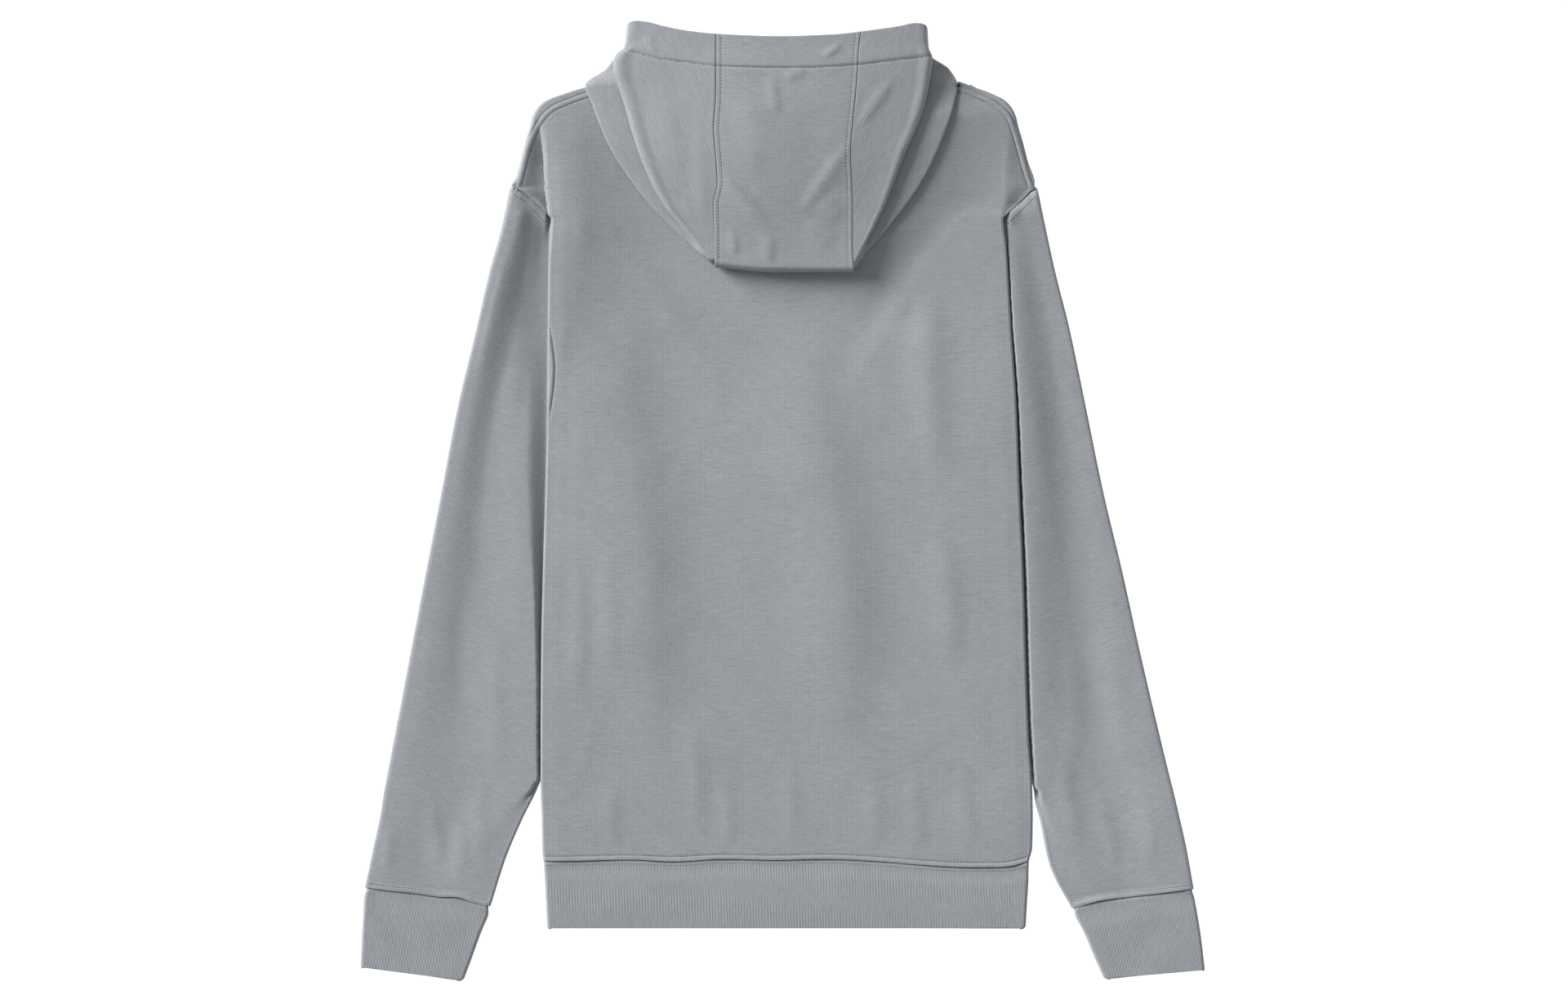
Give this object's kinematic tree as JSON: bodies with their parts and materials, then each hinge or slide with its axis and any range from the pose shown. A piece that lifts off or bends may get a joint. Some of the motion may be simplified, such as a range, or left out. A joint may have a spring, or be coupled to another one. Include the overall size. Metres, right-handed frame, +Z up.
{
  "type": "pullover hoodie laid flat",
  "caption": "Plain grey pullover hoodie laid flat on its front, sleeves beside the body, with its hood folded back over the shoulders and ribbed cuffs and hem.",
  "frame": {"origin": "centre of the bounding box, on the surface that the garment lies on", "axes": "+Y points from the hem to the hood, +Z points up out of the surface, +X points to the wearer's right, as the garment lies on its front"},
  "size_m": [0.698, 0.7915, 0.0254],
  "materials": {
    "fleece": "heather grey jersey-faced fleece with fine horizontal slubs, matte with a soft nap",
    "rib": "grey fine rib knit, matte"
  },
  "bodies": {
    "root": {"back": "fleece", "front": "fleece", "sleeve_left": "fleece", "sleeve_right": "fleece", "hood_left": "fleece", "hood_right": "fleece", "hood_centre": "fleece", "hem_band": "rib", "cuff_left": "rib", "cuff_right": "rib"}
  },
  "joints": []
}
